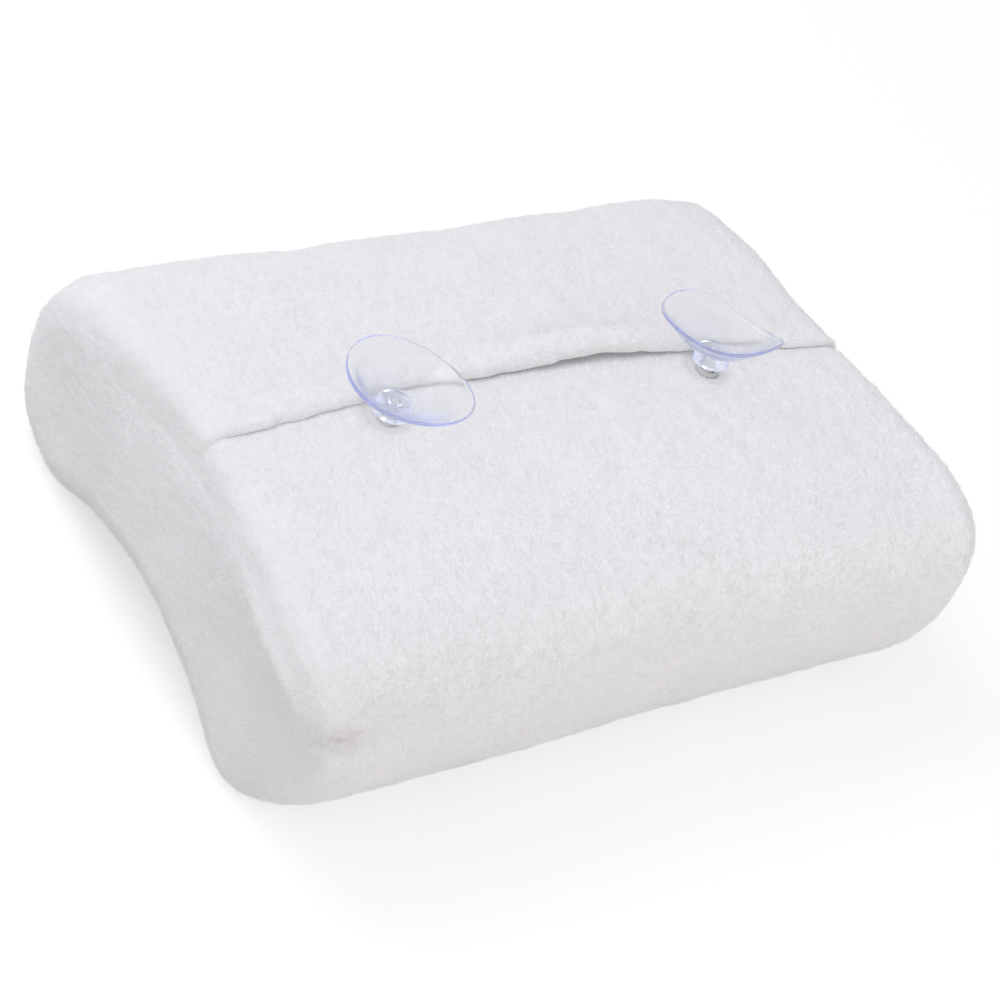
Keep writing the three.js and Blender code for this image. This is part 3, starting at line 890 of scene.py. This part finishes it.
def growPile(source, names, seed):
    rng = np.random.default_rng(seed)
    root, normal, weight = pileRoots(source, rng)
    count = len(root)
    swirl = np.array([noise.noise_vector(Vector(place) / mm / pile["swirl"]) for place in root])
    comb = np.array(pile["comb"]) + pile["swirlShare"] * swirl + pile["stray"] * rng.normal(size=(count, 3))
    comb = unit(comb - (comb * normal).sum(1, keepdims=True) * normal)
    lift = rng.uniform(*pile["lift"], size=(count, 1))
    way = comb * np.cos(lift) + normal * np.sin(lift)
    upward = normal * np.cos(lift) - comb * np.sin(lift)
    side = unit(np.cross(upward, way) + pile["roll"] * rng.normal(size=(count, 1)) * upward)
    length = (rng.uniform(*pile["length"], size=count) * weight)[:, None] * mm
    half = rng.uniform(*pile["width"], size=(count, 1)) * mm / 2
    foot = root - normal * pile["sink"] * mm
    middle = foot + pile["widest"] * length * way - pile["fold"] * mm * upward
    verts = np.stack([foot, middle - side * half, foot + length * way, middle + side * half], axis=1)
    verts[..., 2] = np.maximum(verts[..., 2], pile["lowest"] * mm)
    groups = np.array_split(np.arange(count), len(names))
    return [bladePiece(name, verts[group]) for name, group in zip(names, groups)]


# each blade is a kite of two faces with a cell of its own on the UV map
def bladePiece(name, verts):
    count = len(verts)
    base = np.arange(count)[:, None] * 4
    faces = np.concatenate([base + np.array(face) for face in ((0, 1, 2), (0, 2, 3))], axis=1).reshape(-1)
    mesh = bpy.data.meshes.new(name)
    mesh.vertices.add(count * 4)
    mesh.vertices.foreach_set("co", verts.astype(np.float32).ravel())
    mesh.loops.add(len(faces))
    mesh.loops.foreach_set("vertex_index", faces.astype(np.int32))
    mesh.polygons.add(count * 2)
    mesh.polygons.foreach_set("loop_start", np.arange(count * 2, dtype=np.int32) * 3)
    mesh.update(calc_edges=True)
    mesh.shade_smooth()
    mesh.materials.append(plushPile)
    cells = math.ceil(math.sqrt(count))
    row, column = np.divmod(np.arange(count), cells)
    kite = np.array(((0.1, 0.5), (0.5, 0.1), (0.9, 0.5), (0.5, 0.9)))
    spread = (np.column_stack([column, row])[:, None] + kite[None]).reshape(-1, 2) / cells
    mesh.uv_layers.new(name="OFBake").data.foreach_set("uv", spread[faces].astype(np.float32).ravel())
    piece = bpy.data.objects.new(name, mesh)
    bpy.context.scene.collection.objects.link(piece)
    piece.visible_shadow = False
    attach(piece, "pillow")
    return piece


noise.seed_set(pile["swirlSeed"])
pilePieces = growPile(plushWrap, ["wrapPile" + letter for letter in "ABCDEF"], 11)
pilePieces += growPile(endPanels[0], ["leftEndPile"], 12)
pilePieces += growPile(endPanels[1], ["rightEndPile"], 13)
print("pile grown:", sum(len(piece.data.polygons) for piece in pilePieces), "faces")


# foam block inside the cover

foamBlock = {"voxel": 3 * mm, "room": 0.6, "roomFrom": (110, 140), "softness": 0.4, "softenTimes": 3}


# the foam gives way where the cover pulls in, and leaves a little room at the ends
def tuckFoam(bm):
    for vert in bm.verts:
        spot = np.array(vert.co) / mm
        nearest = np.argmin(np.hypot(sectionTable[:, 1] - spot[1], sectionTable[:, 2] - spot[2]))
        half, depth, height, outDepth, outHeight = sectionTable[nearest]
        pulledIn = min(0, float(fullness(sectionArcs[nearest], spot[0] / (half - form["endRound"]))))
        room = foamBlock["room"] * float(ease(abs(spot[0]), *foamBlock["roomFrom"]))
        vert.co += Vector((0, outDepth, outHeight)) * pulledIn * mm
        vert.co.x -= math.copysign(room, spot[0]) * mm


def makeFoam():
    bm = bmesh.new()
    bm.from_mesh(nodes["foam_core"].data)
    bmesh.ops.remove_doubles(bm, verts=bm.verts[:], dist=0.01 * mm)
    tuckFoam(bm)
    piece = newPiece("foamBlock", bm, foamMaterial(), "pillow")
    remesh = piece.modifiers.new("evenCells", "REMESH")
    remesh.mode = "VOXEL"
    remesh.voxel_size = foamBlock["voxel"]
    remesh.use_smooth_shade = True
    soften = piece.modifiers.new("soften", "SMOOTH")
    soften.factor = foamBlock["softness"]
    soften.iterations = foamBlock["softenTimes"]
    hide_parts("foam_core")


makeFoam()
print("foam made")


# clear suction cups

cup = {
    "pivotDepth": 2.175,
    "steps": 72,
    # radius and height above the cover, from the bore round the outside and back down the dish
    "bore": ((0, 6.75), (2.3, 6.75), (2.3, 1.1)),
    "boss": ((6.3, 2.0), (6.75, 2.35), (7.0, 2.9), (7.0, 4.8), (6.7, 5.4), (6.0, 6.2), (5.5, 6.9)),
    "under": ((5.8, 7.4), (7.0, 7.8), (8.8, 8.3), (11, 9.15), (14, 10.7), (17, 12.7), (20, 15.1),
              (22.4, 16.8), (23.6, 17.2)),
    "lip": ((24.0, 17.7), (24.05, 18.5), (23.85, 19.0), (23.1, 19.0), (22.5, 18.4)),
    "dish": ((20.6, 16.6), (18, 14.8), (15, 13.2), (12, 11.9), (9, 10.95), (6, 10.4), (3, 10.08),
             (0, 10.0)),
    "rim": (24.0, 19.0),
    "waist": 6.5,
    "waistBlend": 2,
    # the soft dish leans off its boss, and its rim waves once, twice and three times round
    "lean": {"left": (0.6, -2.2), "right": (0.4, 0.5)},
    "waves": {
        "left": ((-0.2, 0.0), (-1.05, -0.4)),
        "right": ((-2.4, -1.15), (-1.9, -1.0), (-1.2, -0.1)),
    },
}


def bendDish(bm, side):
    rimRadius, rimHeight = cup["rim"]
    waist = cup["waist"]
    leanX, leanY = cup["lean"][side]
    for vert in bm.verts:
        x, y, height = vert.co / mm
        height -= cup["pivotDepth"]
        turn = math.atan2(y, x)
        share = float(ease(height, waist, rimHeight))
        outward = (math.hypot(x, y) / rimRadius) ** 2 * float(ease(height, waist, waist + cup["waistBlend"]))
        waves = sum(even * math.cos(count * turn) + odd * math.sin(count * turn)
                    for count, (even, odd) in enumerate(cup["waves"][side], 1))
        vert.co += Vector((leanX * share, leanY * share, waves * outward)) * mm


def makeCup(side):
    spin = joints[side + "_cup_spin"]
    pivot, axis = Vector(spin["pos_m"]), Vector(spin["axis"]).normalized()
    profile = [*cup["bore"], *cup["boss"], *cup["under"], *cup["lip"], *cup["dish"]]
    bm = bmesh.new()
    verts = [bm.verts.new((radius * mm, 0, (height + cup["pivotDepth"]) * mm)) for radius, height in profile]
    edges = [bm.edges.new(pair) for pair in zip(verts, verts[1:])]
    bmesh.ops.spin(bm, geom=verts + edges, cent=(0, 0, 0), axis=(0, 0, 1), angle=2 * math.pi,
                   steps=cup["steps"], use_merge=True)
    bmesh.ops.remove_doubles(bm, verts=bm.verts[:], dist=0.005 * mm)
    bmesh.ops.recalc_face_normals(bm, faces=bm.faces[:])
    bendDish(bm, side)
    across = (Vector((1, 0, 0)) - axis * axis.x).normalized()
    turn = Matrix((across, axis.cross(across), axis)).transposed().to_4x4()
    bmesh.ops.transform(bm, matrix=Matrix.Translation(pivot) @ turn, verts=bm.verts[:])
    piece = newPiece(side + "CupClear", bm, clearVinyl, side + "_cup")
    moulded = piece.modifiers.new("moulded", "SUBSURF")
    moulded.levels = moulded.render_levels = 1
    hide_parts(side + "_suction_cup")
    piece.visible_diffuse = False  # light scattered by the cloth passes straight through


for side in ("left", "right"):
    makeCup(side)
print("cups made")


# small sewn and moulded pieces keep their CAD shape and get their finish here

def finishNode(name, material):
    mesh = nodes[name].data
    mesh.materials.clear()
    mesh.materials.append(material)


sewingThread = threadMaterial("sewingThread", 1.2 * mm, (0.82, 0.82, 0.84, 1))
webbingTape = threadMaterial("webbingTape", 2.0 * mm, (0.80, 0.80, 0.80, 1))
tackNylon = tackMaterial()
for side in ("left", "right"):
    finishNode(side + "_eyelet", sewingThread)
    finishNode(side + "_seam_binding", sewingThread)
    finishNode(side + "_cup_tack", tackNylon)
finishNode("anchor_tape", webbingTape)


# floor, light and camera

stageLook = {
    "floor": (0.70, 0.69, 0.675, 1),
    "floorHalf": 4,
    "floorDrop": 0.3 * mm,
    "glowColour": (0.97, 0.985, 1.0, 1),
    "glow": 0.52,
    "above": (0.97, 0.975, 1.0, 1),
    "around": (1.0, 0.975, 0.95, 1),
    "world": 0.56,
    "fromLeft": 0.31,
    "fromFar": 0.26,
    "skyRise": 1.3,
}


# 1 for rays from the camera, from gloss and through clear vinyl, which see white surroundings
def seenRay(wire):
    outputs = (0, 3, 6)
    cameraRay, glossyRay, clearRay = (wire.node("ShaderNodeLightPath", output=number) for number in outputs)
    return wire.maths("MAXIMUM", wire.maths("MAXIMUM", cameraRay, glossyRay), clearRay)


def makeFloor():
    bm = bmesh.new()
    bmesh.ops.create_grid(bm, x_segments=2, y_segments=2, size=stageLook["floorHalf"])
    bmesh.ops.translate(bm, vec=(0, 0, -stageLook["floorDrop"]), verts=bm.verts[:])
    mesh = bpy.data.meshes.new("floor")
    bm.to_mesh(mesh)
    bm.free()
    floor = bpy.data.objects.new("floor", mesh)
    bpy.context.scene.collection.objects.link(floor)
    material, wire = startMaterial("paleFloor")[:2]
    plain = wire.node("ShaderNodeBsdfDiffuse", None, {"Color": stageLook["floor"]})
    glow = wire.node("ShaderNodeEmission", None, {
        "Color": stageLook["glowColour"], "Strength": seenRay(wire) * stageLook["glow"],
    })
    both = wire.node("ShaderNodeAddShader", None, {0: plain, 1: glow})
    wire.node("ShaderNodeOutputMaterial", None, {"Surface": both})
    mesh.materials.append(material)


lamps = {
    "keyLamp": {"place": (-0.35, 0.5, 0.85), "size": 0.6, "power": 2.1, "colour": (0.96, 0.975, 1.0)},
    "frontLamp": {"place": (0.1, -1.2, 0.45), "size": 1.3, "power": 5.3, "colour": (1.0, 0.965, 0.94)},
}


def makeLamp(name, place, size, power, colour, target=(0, 0, 0.05)):
    light = bpy.data.lights.new(name, "AREA")
    light.color = colour
    light.shape = "DISK"
    light.size = size
    light.energy = power
    lamp = bpy.data.objects.new(name, light)
    lamp.location = place
    lamp.rotation_euler = (Vector(target) - Vector(place)).to_track_quat("-Z", "Y").to_euler()
    bpy.context.scene.collection.objects.link(lamp)


def makeWorld():
    world = bpy.data.worlds.new("studio")
    bpy.context.scene.world = world
    world.use_nodes = True
    world.node_tree.nodes.clear()
    wire = Wire(world.node_tree)
    seen = seenRay(wire)
    direction = wire.node("ShaderNodeTexCoord")
    axes = [wire.node("ShaderNodeSeparateXYZ", None, {0: direction}, axis) for axis in range(3)]
    rightward, farward, upward = axes
    room = stageLook["world"] - rightward * stageLook["fromLeft"] + farward * stageLook["fromFar"]
    level = seen * (1 - room) + room
    height = wire.node("ShaderNodeClamp", None, {"Value": upward * stageLook["skyRise"]})
    plain = mixColour(wire, height, stageLook["around"], stageLook["above"])
    colour = mixColour(wire, seen, plain, (1, 1, 1, 1))
    sky = wire.node("ShaderNodeBackground", None, {"Color": colour, "Strength": level})
    wire.node("ShaderNodeOutputWorld", None, {"Surface": sky})


# camera fitted to the outline, the end seams and the slit in the photo
view = {
    "place": (-0.72479, -0.52343, 0.84694),
    "right": (0.78329, -0.48529, 0.38853),
    "up": (0.15975, 0.76112, 0.62863),
    "back": (-0.60079, -0.43033, 0.67370),
    "lens": 115.64,
}


def makeCamera():
    data = bpy.data.cameras.new("photoView")
    data.sensor_fit = "HORIZONTAL"
    data.sensor_width = 36
    data.lens = view["lens"]
    data.clip_start = 0.01
    camera = bpy.data.objects.new("photoView", data)
    turn = Matrix((view["right"], view["up"], view["back"])).transposed().to_4x4()
    camera.matrix_world = Matrix.Translation(view["place"]) @ turn
    bpy.context.scene.collection.objects.link(camera)
    bpy.context.scene.camera = camera


makeFloor()
for name, lamp in lamps.items():
    makeLamp(name, **lamp)
makeWorld()
makeCamera()
bpy.context.scene.view_settings.view_transform = "Standard"
print("stage ready")
